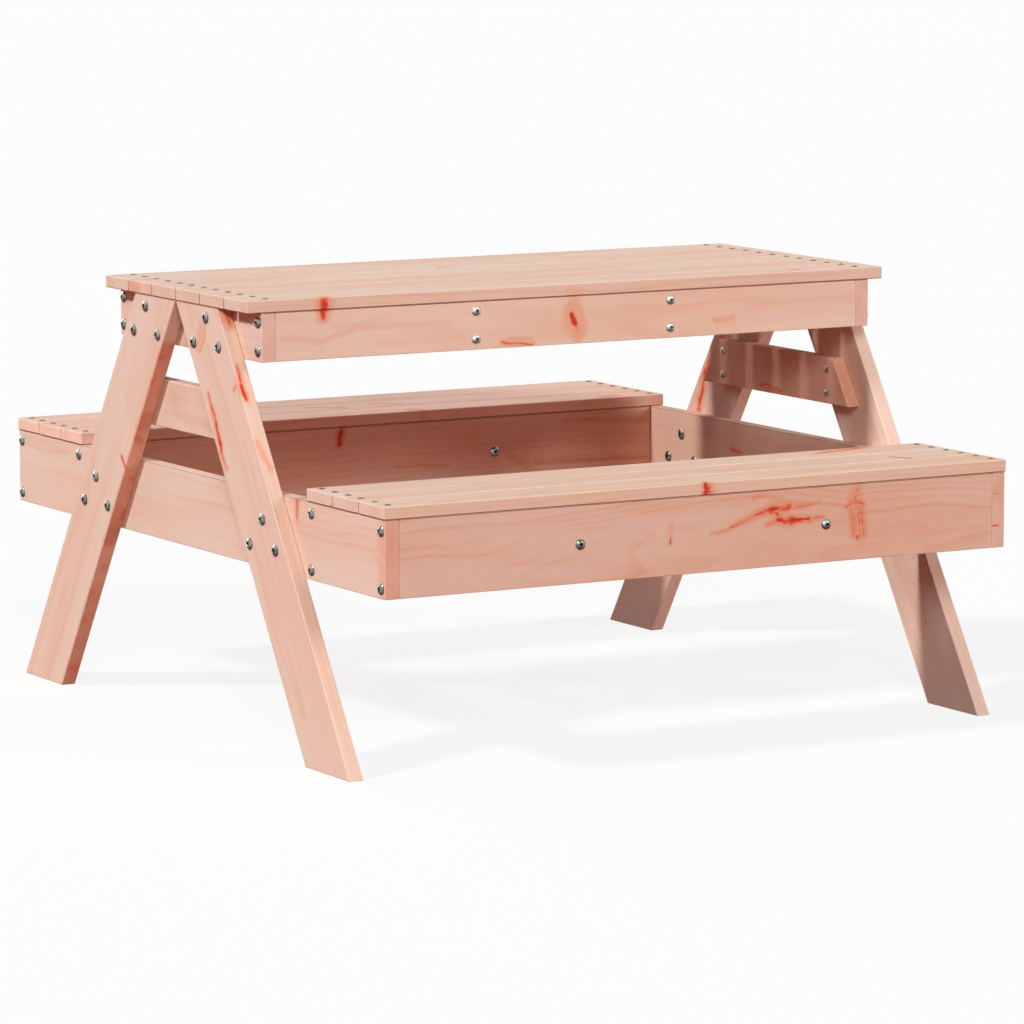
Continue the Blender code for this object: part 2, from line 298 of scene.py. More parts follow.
def planed_softwood():
    """Node group: growth rings round the pith, drawn-out streaks and fibres, end grain, a painted highlight
    on the edges and painted shade in the joints.
    """
    tree = bpy.data.node_groups.new("planed softwood", "ShaderNodeTree")
    given, result = sockets(
        tree,
        (("Board", "Vector"), ("Pith", "Vector"), ("Half", "Vector"), ("Year", "Float"), ("Wander", "Float"),
         ("Bold", "Float"), ("Push", "Float"), ("Rim", "Float"), ("Heart", "Float"), ("End", "Float"),
         ("Joint", "Float"), ("Pale", "Color"), ("Warm", "Color"), ("Ring", "Color")),
        (("Color", "Color"), ("Roughness", "Float"), ("Height", "Float")),
    )
    board, pith = given.outputs["Board"], given.outputs["Pith"]
    grain = add(tree, "ShaderNodeVectorMath", {0: board, 1: pith}, operation="SUBTRACT").outputs[0]

    # The rings are tubes round the pith, which wanders along the trunk. A knot pushes them outwards.
    stretch = (1 / ring_wander_length, 1 / ring_wander_width, 1 / ring_wander_width)
    drawn = add(tree, "ShaderNodeVectorMath", {0: grain, 1: stretch}, operation="MULTIPLY").outputs[0]
    wander = add(tree, "ShaderNodeTexNoise", {"Vector": drawn, "Scale": 1.0, "Detail": ring_wander_detail})
    centred = add(
        tree, "ShaderNodeVectorMath", {0: wander.outputs["Color"], 1: noise_middle}, operation="SUBTRACT"
    )
    swing = add(
        tree, "ShaderNodeMath", {0: given.outputs["Wander"], 1: ring_wander_gain}, operation="MULTIPLY"
    ).outputs[0]
    sideways = add(tree, "ShaderNodeCombineXYZ", {1: swing, 2: swing}).outputs[0]
    swung = add(tree, "ShaderNodeVectorMath", {0: centred.outputs[0], 1: sideways}, operation="MULTIPLY")
    bent = add(tree, "ShaderNodeVectorMath", {0: grain, 1: swung.outputs[0]}, operation="ADD").outputs[0]
    across = add(tree, "ShaderNodeVectorMath", {0: bent, 1: (0, 1, 1)}, operation="MULTIPLY")
    radius = add(tree, "ShaderNodeVectorMath", {0: across.outputs[0]}, operation="LENGTH").outputs["Value"]
    pushed = add(tree, "ShaderNodeMath", {0: radius, 1: given.outputs["Push"]}, operation="ADD").outputs[0]
    years = add(tree, "ShaderNodeMath", {0: pushed, 1: given.outputs["Year"]}, operation="DIVIDE").outputs[0]
    season = add(tree, "ShaderNodeMath", {0: years}, operation="FRACT").outputs[0]
    year = add(tree, "ShaderNodeMath", {0: years}, operation="FLOOR").outputs[0]
    weather = add(tree, "ShaderNodeTexWhiteNoise", {"W": year}, noise_dimensions="1D").outputs["Value"]

    # Late wood darkens slowly through each ring and stops short at its end, some years more than others.
    summer = add(tree, "ShaderNodeMapRange", {0: season, **late_wood_rise}, **smooth).outputs[0]
    winter = add(tree, "ShaderNodeMapRange", {0: season, **late_wood_fall}, **smooth).outputs[0]
    late = add(tree, "ShaderNodeMath", {0: summer, 1: winter}, operation="MULTIPLY").outputs[0]
    strong = add(tree, "ShaderNodeMapRange", {0: weather, **late_wood_strength}, **smooth).outputs[0]
    late = add(tree, "ShaderNodeMath", {0: late, 1: strong}, operation="MULTIPLY").outputs[0]

    # Three noises drawn out along the grain, each moved aside so that they don't repeat one another.
    patterns = []
    for length, width, detail, shift in (blotch_pattern, streak_pattern, fibre_pattern):
        stretch = (1 / length, 1 / width, 1 / width)
        drawn = add(
            tree, "ShaderNodeVectorMath", {0: bent, 1: stretch, 2: (shift, shift, shift)},
            operation="MULTIPLY_ADD",
        ).outputs[0]
        noise = add(tree, "ShaderNodeTexNoise", {"Vector": drawn, "Scale": 1.0, "Detail": detail})
        patterns.append(noise.outputs[0])
    blotch, streak, fibre = patterns
    kept = add(tree, "ShaderNodeMapRange", {0: blotch, **late_wood_patches}, **smooth).outputs[0]
    late = add(tree, "ShaderNodeMath", {0: late, 1: kept}, operation="MULTIPLY").outputs[0]

    pale, ring = given.outputs["Pale"], given.outputs["Ring"]
    share = add(tree, "ShaderNodeMapRange", {0: blotch, **warm_blotches}, **smooth).outputs[0]
    colour = add(tree, "ShaderNodeMix", {0: share, 6: pale, 7: given.outputs["Warm"]}, **coloured).outputs[2]
    share = add(tree, "ShaderNodeMath", {0: late, 1: given.outputs["Bold"]}, operation="MULTIPLY").outputs[0]
    colour = add(tree, "ShaderNodeMix", {0: share, 6: colour, 7: ring}, **coloured).outputs[2]
    share = add(tree, "ShaderNodeMapRange", {0: streak, **dark_streaks}, **smooth).outputs[0]
    colour = add(tree, "ShaderNodeMix", {0: share, 6: colour, 7: ring}, **coloured).outputs[2]
    share = add(tree, "ShaderNodeMapRange", {0: streak, **pale_streaks}, **smooth).outputs[0]
    colour = add(tree, "ShaderNodeMix", {0: share, 6: colour, 7: pale}, **coloured).outputs[2]
    shades = [
        add(tree, "ShaderNodeMapRange", {0: fibre, **fibre_spread, 3: dark, 4: light}).outputs[0]
        for dark, light in fibre_shades
    ]
    shade = add(tree, "ShaderNodeCombineColor", dict(enumerate(shades))).outputs[0]
    colour = add(
        tree, "ShaderNodeMix", {0: 1.0, 6: colour, 7: shade}, blend_type="MULTIPLY", **coloured
    ).outputs[2]

    # End grain drinks up dirt and damp and is a little darker.
    share = add(
        tree, "ShaderNodeMath", {0: given.outputs["End"], 1: end_grain_share}, operation="MULTIPLY"
    ).outputs[0]
    colour = add(
        tree, "ShaderNodeMix", {0: share, 6: colour, 7: linear(end_grain_colour)}, **coloured
    ).outputs[2]

    # A painted highlight lightens each edge, where two faces of the board are both near: the second smallest
    # of three distances.
    size = add(tree, "ShaderNodeVectorMath", {0: board}, operation="ABSOLUTE").outputs[0]
    depth = add(
        tree, "ShaderNodeVectorMath", {0: given.outputs["Half"], 1: size}, operation="SUBTRACT"
    ).outputs[0]
    depths = add(tree, "ShaderNodeSeparateXYZ", {0: depth}).outputs
    long_edge = add(tree, "ShaderNodeMath", {0: depths[1], 1: depths[2]}, operation="MAXIMUM").outputs[0]
    nearest = add(tree, "ShaderNodeMath", {0: depths[1], 1: depths[2]}, operation="MINIMUM").outputs[0]
    end_edge = add(tree, "ShaderNodeMath", {0: depths[0], 1: nearest}, operation="MAXIMUM").outputs[0]
    edge = add(tree, "ShaderNodeMath", {0: long_edge, 1: end_edge}, operation="MINIMUM").outputs[0]
    share = add(tree, "ShaderNodeMapRange", {0: edge, **edge_highlight_band}, **smooth).outputs[0]
    colour = add(tree, "ShaderNodeMix", {0: share, 6: colour, 7: linear(edge_highlight_colour)}, **coloured).outputs[2]

    # Resin turns the wood round a knot salmon, the knot red, and its core dark. Shade is painted dark along
    # the joints.
    rim, heart = given.outputs["Rim"], given.outputs["Heart"]
    colour = add(
        tree, "ShaderNodeMix", {0: rim, 6: colour, 7: linear(knot_rim_colour)}, **coloured
    ).outputs[2]
    share = add(tree, "ShaderNodeMapRange", {0: heart, **heart_red}, **smooth).outputs[0]
    colour = add(
        tree, "ShaderNodeMix", {0: share, 6: colour, 7: linear(knot_heart_colour)}, **coloured
    ).outputs[2]
    share = add(tree, "ShaderNodeMapRange", {0: heart, **heart_core}, **smooth).outputs[0]
    colour = add(
        tree, "ShaderNodeMix", {0: share, 6: colour, 7: linear(knot_core_colour)}, **coloured
    ).outputs[2]
    joint = given.outputs["Joint"]
    colour = add(
        tree, "ShaderNodeMix", {0: joint, 6: colour, 7: linear(joint_shade_colour)}, **coloured
    ).outputs[2]
    tree.links.new(colour, result.inputs["Color"])

    # Late wood and resin are smoother than the rest, and late wood and fibres stand up a little.
    rough = add(tree, "ShaderNodeMapRange", {0: late, **wood_roughness}).outputs[0]
    smoothed = add(tree, "ShaderNodeMath", {0: heart, 1: heart_polish}, operation="MULTIPLY").outputs[0]
    roughness = add(tree, "ShaderNodeMath", {0: rough, 1: smoothed}, operation="SUBTRACT").outputs[0]
    tree.links.new(roughness, result.inputs["Roughness"])
    height = add(
        tree, "ShaderNodeMath", {0: late, 1: late_wood_height, 2: fibre}, operation="MULTIPLY_ADD"
    ).outputs[0]
    tree.links.new(height, result.inputs["Height"])
    return tree


def knot_or_streak():
    """Node group: a knot or a resin streak, a stroke between two points that is 1 where its rim ends."""
    tree = bpy.data.node_groups.new("knot or resin streak", "ShaderNodeTree")
    given, result = sockets(
        tree,
        (("Here", "Vector"), ("Fray", "Float"), ("Across", "Vector"), ("From", "Vector"), ("Span", "Vector"),
         ("Start", "Float"), ("End", "Float"), ("Ragged", "Float"), ("Redness", "Float")),
        (("Rim", "Float"), ("Heart", "Float"), ("Push", "Float")),
    )
    here, start, span = given.outputs["Here"], given.outputs["From"], given.outputs["Span"]
    redness = given.outputs["Redness"]

    # How far a point is from the stroke, as a share of the stroke's width there, and with a frayed edge.
    away = add(tree, "ShaderNodeVectorMath", {0: here, 1: start}, operation="SUBTRACT").outputs[0]
    flat = add(
        tree, "ShaderNodeVectorMath", {0: away, 1: given.outputs["Across"]}, operation="MULTIPLY"
    ).outputs[0]
    along = add(tree, "ShaderNodeVectorMath", {0: flat, 1: span}, operation="DOT_PRODUCT").outputs["Value"]
    whole = add(tree, "ShaderNodeVectorMath", {0: span, 1: span}, operation="DOT_PRODUCT").outputs["Value"]
    share = add(tree, "ShaderNodeMath", {0: along, 1: whole}, operation="DIVIDE", use_clamp=True).outputs[0]
    nearest = add(tree, "ShaderNodeVectorMath", {0: span, "Scale": share}, operation="SCALE").outputs[0]
    distance = add(
        tree, "ShaderNodeVectorMath", {0: flat, 1: nearest}, operation="DISTANCE"
    ).outputs["Value"]
    width = add(
        tree, "ShaderNodeMapRange", {0: share, 3: given.outputs["Start"], 4: given.outputs["End"]}
    ).outputs[0]
    plain = add(tree, "ShaderNodeMath", {0: distance, 1: width}, operation="DIVIDE").outputs[0]
    reach = add(
        tree, "ShaderNodeMath", {0: given.outputs["Fray"], 1: given.outputs["Ragged"], 2: plain},
        operation="MULTIPLY_ADD",
    ).outputs[0]

    # The salmon rim, the red heart inside it, and how far the rings bulge round both.
    most = add(tree, "ShaderNodeMapRange", {0: redness, **rim_strength}).outputs[0]
    rim = add(tree, "ShaderNodeMapRange", {0: reach, 3: most, **rim_fade}, **smooth).outputs[0]
    tree.links.new(rim, result.inputs["Rim"])
    inside = add(tree, "ShaderNodeMath", {0: redness, 1: reach}, operation="SUBTRACT").outputs[0]
    heart = add(tree, "ShaderNodeMapRange", {0: inside, **heart_rise}, **smooth).outputs[0]
    tree.links.new(heart, result.inputs["Heart"])
    close = add(tree, "ShaderNodeMapRange", {0: plain, **ring_bulge}, **smooth).outputs[0]
    push = add(tree, "ShaderNodeMath", {0: close, 1: width}, operation="MULTIPLY").outputs[0]
    tree.links.new(push, result.inputs["Push"])
    return tree


softwood_tree = planed_softwood()
mark_tree = knot_or_streak()
pith_draw = random.Random(23)
along_table = Vector((1, 0, 0))
across_table = Vector((0, 1, 0))
upward = Vector((0, 0, 1))
table_joint = (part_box("table_slat_1")[0].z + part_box("table_apron_front")[1].z) / 2
bench_joint = (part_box("front_bench_slat_1")[0].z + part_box("front_bench_outer_board")[1].z) / 2


def wood(name, along, face, half, tint, marks=(), bold=(1.0, 1.0, 1.0)):
    """The bare wood of one board. along is the way of its grain and face the way its broad face looks.

    A mark is (start, end, start width, end width, raggedness, redness): a stroke in millimetres, how
    ragged its edge is, and how far in it is red. It goes through the board along a coordinate of None.
    bold makes the rings wider, wavier and darker than usual.
    """
    low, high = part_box(name)
    material, tree = empty_material("planed softwood " + name)
    here = add(tree, "ShaderNodeTexCoord").outputs["Object"]
    axes = Matrix((along, face.cross(along), face)).transposed()
    board = add(
        tree, "ShaderNodeMapping",
        {"Vector": here, "Location": (low + high) / 2, "Rotation": axes.to_euler()}, vector_type="TEXTURE",
    ).outputs[0]
    pith_side = pith_draw.uniform(-pith_side_share, pith_side_share) * half[1]
    pith_depth = pith_draw.choice((-1, 1)) * pith_draw.uniform(*pith_depths)
    pith_along = pith_draw.uniform(-pith_along_reach, pith_along_reach)
    pale, warm, ring = (linear(colour) for colour in tints[tint])
    values = {
        "Board": board, "Half": half, "Pith": (pith_along, pith_side, pith_depth),
        "Year": ring_width * bold[0], "Wander": ring_wander * bold[1], "Bold": ring_share * bold[2],
        "Pale": pale, "Warm": warm, "Ring": ring,
    }

    # The marks' edges waver a little, and their fray follows the grain. Overlapping marks become one.
    if marks:
        waver = add(tree, "ShaderNodeTexNoise", {
            "Vector": here, "Scale": 1 / waver_width, "Detail": waver_detail,
        })
        centred = add(
            tree, "ShaderNodeVectorMath", {0: waver.outputs["Color"], 1: noise_middle}, operation="SUBTRACT"
        ).outputs[0]
        scaled = add(
            tree, "ShaderNodeVectorMath", {0: centred, "Scale": waver_reach}, operation="SCALE"
        ).outputs[0]
        wavy = add(tree, "ShaderNodeVectorMath", {0: here, 1: scaled}, operation="ADD").outputs[0]
        stretch = (1 / fray_length, 1 / fray_width, 1 / fray_width)
        drawn = add(tree, "ShaderNodeVectorMath", {0: board, 1: stretch}, operation="MULTIPLY").outputs[0]
        frayed = add(
            tree, "ShaderNodeTexNoise", {"Vector": drawn, "Scale": 1.0, "Detail": fray_detail}
        ).outputs[0]
        fray = add(tree, "ShaderNodeMapRange", {0: frayed, **fray_spread}, clamp=False).outputs[0]
    for start, end, start_width, end_width, ragged, redness in marks:
        flat = [0.0 if place is None else 1.0 for place in start]
        first, last = (Vector([(place or 0) / 1000 for place in point]) for point in (start, end))
        mark = add(tree, "ShaderNodeGroup", {
            "Here": wavy, "Fray": fray, "Across": flat, "From": first, "Span": last - first,
            "Start": start_width / 1000, "End": end_width / 1000, "Ragged": ragged, "Redness": redness,
        }, node_tree=mark_tree)
        for fact in ("Rim", "Heart", "Push"):
            found = mark.outputs[fact]
            if fact in values:
                found = add(
                    tree, "ShaderNodeMath", {0: values[fact], 1: found}, operation="MAXIMUM"
                ).outputs[0]
            values[fact] = found

    # The end grain shows where the surface looks along the grain. Painted shade darkens the upright faces
    # along the joint.
    normal = add(tree, "ShaderNodeNewGeometry").outputs["True Normal"]
    facing = add(
        tree, "ShaderNodeVectorMath", {0: normal, 1: along}, operation="DOT_PRODUCT"
    ).outputs["Value"]
    facing = add(tree, "ShaderNodeMath", {0: facing}, operation="ABSOLUTE").outputs[0]
    values["End"] = add(tree, "ShaderNodeMapRange", {0: facing, **end_grain_face}, **smooth).outputs[0]
    joint = min((table_joint, bench_joint), key=lambda level: min(abs(level - low.z), abs(level - high.z)))
    level = add(tree, "ShaderNodeSeparateXYZ", {0: here}).outputs[2]
    off = add(tree, "ShaderNodeMath", {0: level, 1: joint}, operation="SUBTRACT").outputs[0]
    off = add(tree, "ShaderNodeMath", {0: off}, operation="ABSOLUTE").outputs[0]
    near = add(tree, "ShaderNodeMapRange", {0: off, **joint_shade_band}, **smooth).outputs[0]
    tilt = add(tree, "ShaderNodeSeparateXYZ", {0: normal}).outputs[2]
    tilt = add(tree, "ShaderNodeMath", {0: tilt}, operation="ABSOLUTE").outputs[0]
    upright = add(tree, "ShaderNodeMapRange", {0: tilt, **joint_shade_upright}, **smooth).outputs[0]
    values["Joint"] = add(tree, "ShaderNodeMath", {0: near, 1: upright}, operation="MULTIPLY").outputs[0]

    grain = add(tree, "ShaderNodeGroup", values, node_tree=softwood_tree)
    raised = add(tree, "ShaderNodeBump", {"Height": grain.outputs["Height"], "Distance": fibre_depth})
    surface = add(tree, "ShaderNodeBsdfPrincipled", {
        "Base Color": grain.outputs["Color"],
        "Roughness": grain.outputs["Roughness"],
        "Specular IOR Level": wood_specular,
        "Normal": raised.outputs[0],
    })
    add(tree, "ShaderNodeOutputMaterial", {"Surface": surface.outputs[0]})
    nodes[name].material_slots[0].material = material


def straight_board(name, along, face, tint, marks=(), bold=(1.0, 1.0, 1.0)):
    """The wood of a square-cut board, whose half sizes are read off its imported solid."""
    low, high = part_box(name)
    size = (high - low) / 2
    half = [abs(size.dot(axis)) for axis in (along, face.cross(along), face)]
    wood(name, along, face, half, tint, marks, bold)


table_slat_marks = {
    1: [((-339, -186, 517), (-340, -186, 506), 11, 11, 0.2, 0.45),
        ((-337, -186, 514), (-340, -186, 507), 5.8, 6.6, 0.2, 0.75),
        ((332, -166, None), (312, -173, None), 4, 3, 0.4, 0.25),
        ((-6, -186, 512), (8, -186, 510), 6, 5, 0.4, -0.3)],
    4: [((120, 53, None), (200, 58, None), 3, 4, 0.5, -0.2)],
    5: [((-440, 112, 514), (-440, 102, 513), 11, 9, 0.4, -0.1),
        ((-421, 117, None), (-419, 100, None), 2, 2, 0.3, 0.45),
        ((-45, 67, None), (-26, 74, None), 3, 3, 0.4, 0.30),
        ((200, 69, None), (418, 93, None), 4, 7, 0.5, -0.2)],
}
for number in range(1, 7):
    straight_board(f"table_slat_{number}", along_table, upward, "table", table_slat_marks.get(number, ()))


# Aprons and cross bars
# Two 57 mm boards on edge run under the outer slats, and two shorter ones cross from one to the other.
# Same planed softwood; the front apron has a large knot in the middle and a small one near its left end.
facing_front = Vector((0, -1, 0))
apron_marks = {
    "table_apron_front": [
        ((-340, None, 508), (-340, None, 500), 10.5, 7.5, 0.2, 0.50),
        ((-340, None, 510), (-340, None, 506), 6.2, 5.4, 0.2, 0.75),
        ((-4, None, 489), (4, None, 465), 9, 9, 0.2, 0.0),
        ((-2, None, 487), (2, None, 471), 6.5, 7.0, 0.2, 0.20),
        ((-3, None, 485), (0, None, 475), 3.8, 4.4, 0.2, 0.85),
        ((-5, None, 498), (-10, None, 489), 5.5, 7.0, 0.2, -0.10),
        ((-10, None, 489), (-8, None, 474), 7.0, 7.0, 0.2, -0.10),
        ((-8, None, 474), (1, None, 459), 7.0, 5.5, 0.2, -0.10),
        ((-1, None, 498), (8, None, 488), 5.5, 7.0, 0.2, -0.10),
        ((8, None, 488), (12, None, 469), 7.0, 7.0, 0.2, -0.10),
        ((12, None, 469), (6, None, 459), 7.0, 5.5, 0.2, -0.10),
        ((0, None, 503), (1, None, 492), 7, 8, 0.3, -0.2),
        ((4, None, 462), (4, None, 453), 3.5, 2.5, 0.2, -0.1),
        ((-100, None, 458), (-88, None, 455), 2.5, 3.2, 0.3, 0.25),
        ((-88, None, 455), (-57, None, 454), 3.2, 3.0, 0.3, 0.25),
        ((-90, None, 459), (-62, None, 458), 4.5, 4.0, 0.3, -0.2),
        ((198, None, 468), (224, None, 471), 3.0, 4.0, 0.5, -0.2),
        ((-394, None, 478), (-341, None, 471), 3.0, 3.5, 0.3, -0.35),
        ((-341, None, 471), (-315, None, 478), 3.5, 3.5, 0.3, -0.35),
        ((-315, None, 478), (-297, None, 485), 3.5, 3.5, 0.3, -0.35),
        ((-297, None, 485), (-170, None, 484), 3.5, 2.5, 0.3, -0.40),
    ],
}
for name, tint in (("table_apron_front", "pale"), ("table_apron_rear", "rosy")):
    straight_board(name, along_table, facing_front, tint, apron_marks.get(name, ()))
for number in (1, 2):
    straight_board(f"table_crossbar_{number}", across_table, along_table, "rosy")


# Table end boards
# One 57 mm board at each end closes the apron frame. The slats are screwed into its top edge, and the
# legs are bolted to its outer face.
for side in ("left", "right"):
    straight_board(f"table_end_board_{side}", across_table, along_table, "rosy")


# Bench slats
# Three 60 mm boards a bench, 15 mm thick, flush with the bench end boards. The front bench has a red
# knot on the edge of its outer slat and a few thin red streaks on top.
bench_slat_marks = {
    "front_bench_slat_3": [
        ((0, -480, 303), (0, -480, 317), 5.5, 4, 0.4, 0.70),
        ((4, -480, 304), (3, -480, 317), 8, 7, 0.6, 0.20),
        ((-350, -474, None), (-332, -475, None), 3, 2.5, 0.4, -0.1)],
    "front_bench_slat_2": [
        ((316, -392, None), (330, -415, None), 4.5, 4, 0.3, 0.45)],
    "front_bench_slat_1": [
        ((256, -322, None), (296, -313, None), 5, 7, 0.6, 0.20),
        ((296, -313, None), (338, -301, None), 7, 8, 0.6, 0.25),
        ((280, -303, None), (330, -299, None), 10, 10, 0.5, -0.1)],
    "rear_bench_slat_1": [
        ((46, 308, None), (62, 302, None), 5, 5, 0.4, 0.20),
        ((338, 309, None), (360, 311, None), 7, 6, 0.5, 0.10),
        ((415, 309, 310), (424, 309, 310), 14, 15, 0.5, 0.05)],
    "rear_bench_slat_2": [
        ((-54, 390, None), (-14, 369, None), 5, 5, 0.6, 0.05),
        ((42, 394, None), (66, 366, None), 5, 5, 0.6, -0.1)],
}
for bench, tints_here in (("front", ("pale", "pale", "honey")), ("rear", ("blush", "blush", "blush"))):
    for number, tint in enumerate(tints_here, start=1):
        name = f"{bench}_bench_slat_{number}"
        straight_board(name, along_table, upward, tint, bench_slat_marks.get(name, ()))


# Long bench boards
# An inner and an outer board of 90 x 18 mm run under each bench. The front one shows most: wavy rings, a
# red resin streak that splits in two, and a knot that was sawn along its branch.
long_board_marks = {
    "front_bench_outer_board": [
        ((8, None, 258), (30, None, 259.5), 2.4, 2.8, 0.5, -0.05),
        ((30, None, 259.5), (49, None, 268.5), 2.8, 3.8, 0.5, 0.05),
        ((49, None, 268.5), (69, None, 275.5), 4.0, 5.0, 0.5, 0.15),
        ((69, None, 275.5), (91, None, 280), 5.0, 6.5, 0.6, 0.30),
        ((91, None, 280), (116, None, 280), 6.5, 6.0, 0.7, 0.45),
        ((116, None, 280), (158, None, 283), 5.0, 1.8, 0.6, 0.0),
        ((96, None, 278), (106, None, 267), 5.0, 6.5, 0.6, 0.15),
        ((84, None, 262), (100, None, 267), 2.6, 5.0, 0.4, 0.05),
        ((100, None, 268), (110, None, 265), 6.5, 7.5, 0.4, 0.50),
        ((110, None, 265), (142, None, 266), 7.0, 5.0, 0.7, 0.50),
        ((142, None, 266), (164, None, 267), 4.0, 1.8, 0.5, 0.0),
        ((66, None, 295.5), (79, None, 297.5), 2.6, 2.8, 0.3, 0.0),
        ((211, None, 299), (207, None, 287), 5.0, 8.0, 0.4, 0.0),
        ((207, None, 289), (208, None, 274), 8.5, 8.0, 0.3, 0.04),
        ((206, None, 281), (193, None, 276.5), 5.0, 2.6, 0.4, 0.15),
        ((206, None, 281), (220, None, 276.5), 5.0, 2.6, 0.4, 0.15),
        ((202, None, 274), (206, None, 242), 5.5, 5.0, 0.3, 0.06),
        ((207, None, 274), (210, None, 240), 6.0, 6.0, 0.3, -0.02),
        ((212, None, 274), (215, None, 240), 6.0, 6.0, 0.3, 0.04),
        ((216, None, 274), (219, None, 240), 5.5, 5.0, 0.3, 0.08),
        ((211.5, None, 241), (212, None, 237), 2.2, 1.8, 0.2, 0.50),
        ((-47, None, 251), (-47, None, 256), 3.0, 2.4, 0.2, 0.35),
        ((-48, None, 260), (-46, None, 272), 5.0, 3.0, 0.5, -0.3),
    ],
    "rear_bench_inner_board": [
        ((-57, None, 297), (-61, None, 280), 7.0, 6.0, 0.2, 0.50),
        ((20, None, 247), (100, None, 243), 2.0, 2.4, 0.5, -0.1),
        ((228, None, 240), (395, None, 236), 2.4, 2.6, 0.5, -0.05),
        ((194, None, 248), (219, None, 232), 6.0, 7.0, 0.5, -0.2),
        ((270, None, 291), (395, None, 288), 3.0, 4.0, 0.5, -0.2),
    ],
}
plain_grain = (1.0, 1.0, 1.0)
wavy_grain = (0.95, 2.2, 1.4)
# The rear inner board's brown tint is painted shade: redder than the others, for its place in shade under
# the table.
for bench, place, tint, bold in (
    ("front", "outer", "ruddy", wavy_grain), ("front", "inner", "rosy", plain_grain),
    ("rear", "inner", "brown", plain_grain), ("rear", "outer", "rosy", wavy_grain),
):
    name = f"{bench}_bench_{place}_board"
    straight_board(name, along_table, facing_front, tint, long_board_marks.get(name, ()), bold)


# Bench end boards and spacers
# One board at each end reaches from bench to bench and ties the whole table together. Short spacers
# hold the inner and the outer board of each bench apart.
end_board_marks = {
    "bench_end_board_left": [
        ((None, -271, 300), (None, -271, 280), 6.5, 4.0, 0.3, 0.25),
        ((-411, -480, 215), (-411, -480, 300), 16, 16, 0.3, -0.15)],
    "bench_end_board_right": [
        ((None, 80, 266), (None, 98, 267), 8.0, 8.0, 0.5, 0.0),
        ((404, -480, 239), (411, -480, 239.5), 1.4, 1.4, 0.2, 0.60),
        ((404, -480, 278), (411, -480, 278), 1.0, 1.0, 0.2, 0.20)],
}
# The right end board's darker, redder tint is painted shade for its shaded inner face.
for side, tint in (("left", "pale"), ("right", "ruddy")):
    name = f"bench_end_board_{side}"
    straight_board(name, across_table, along_table, tint, end_board_marks.get(name, ()))
    for bench in ("front", "rear"):
        straight_board(f"{bench}_bench_spacer_{side}", across_table, along_table, "rosy")


# Legs
# Four 90 x 18 mm boards that lean in at the top, cut level at the floor and under the slats. Their grain
# follows the board. The two on the left show red resin streaks along their edges. Painted shade adds a long
# red band down the inner edge of the rear left leg and an orange patch at the top of the front left leg.
leg_board_width = 0.090
leg_board_thickness = 0.018
leg_lean = math.radians(32.34)
leg_marks = {
    "leg_front_left": [
        ((None, -68, 482), (None, -56, 458), 7.0, 6.0, 0.4, -0.2),
        ((None, -77, 486), (None, -74, 467), 2.2, 2.2, 0.3, 0.05),
        ((None, -74, 467), (None, -63, 453), 2.2, 2.2, 0.3, 0.05),
        ((None, -84, 408), (None, -93, 391), 3.5, 5.5, 0.5, 0.20),
        ((None, -93, 391), (None, -103, 374), 5.5, 6.5, 0.5, 0.45),
        ((None, -103, 374), (None, -110, 360), 6.5, 6.5, 0.5, 0.50),
        ((None, -110, 360), (None, -118, 341), 6.5, 5.5, 0.6, 0.40),
        ((None, -118, 341), (None, -131, 322), 5.0, 3.0, 0.6, 0.10),
        ((None, -154, 422), (None, -149, 416), 2.6, 2.4, 0.2, 0.20),
        # An orange patch at the top of the outer edge is painted shade under the slat ends.
        ((-430, -108, 506), (-428, -120, 488), 9.0, 6.0, 0.5, 0.15),
        ((-433, -147, 445), (-435, -161, 423), 3.0, 5.0, 0.4, 0.30),
        ((-435, -161, 423), (-434, -171, 407), 5.0, 5.0, 0.4, 0.60),
        ((-435, -199, 362), (-433, -209, 347), 3.0, 4.0, 0.3, -0.05),
        ((-433, -209, 347), (-428, -219, 332), 4.0, 4.0, 0.3, -0.05),
    ],
    "leg_rear_left": [
        ((-440, 148, 307), (-440, 139, 294), 3.5, 5.0, 0.4, 0.50),
        ((-440, 134, 381), (-440, 134, 374), 2.5, 2.0, 0.3, -0.1),
        # A long red band down the inner edge of this leg is painted shade.
        ((None, 319, 0), (None, 34, 450), 5.2, 5.2, 0.0, 0.3),
    ],
    "leg_rear_right": [
        ((None, 150, 408), (None, 173, 380), 6.0, 6.0, 0.6, 0.10),
        ((None, 173, 380), (None, 190, 358), 7.0, 10.0, 0.6, 0.25),
        ((None, 190, 358), (None, 207, 307), 10.0, 6.0, 0.6, 0.30),
    ],
    "leg_front_right": [
        ((None, -288, 175), (None, -289, 174), 1.4, 1.4, 0.3, 0.20),
        ((None, -301, 152), (None, -302, 150), 1.6, 1.4, 0.3, 0.20),
        ((None, -316, 102), (None, -317, 100), 1.6, 1.4, 0.3, 0.30),
    ],
}
slant = leg_board_width / 2 * math.tan(leg_lean)
for bench, side, tint in (
    ("front", "left", "pale"), ("front", "right", "pale"),
    ("rear", "left", "pale"), ("rear", "right", "rosy"),
):
    toward_middle = 1 if bench == "front" else -1
    up_the_leg = Vector((0, toward_middle * math.sin(leg_lean), math.cos(leg_lean)))
    name = f"leg_{bench}_{side}"
    low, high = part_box(name)
    half_length = (high.z - low.z) / math.cos(leg_lean) / 2 + slant
    half = (half_length, leg_board_width / 2, leg_board_thickness / 2)
    wood(name, up_the_leg, along_table, half, tint, leg_marks.get(name, ()))


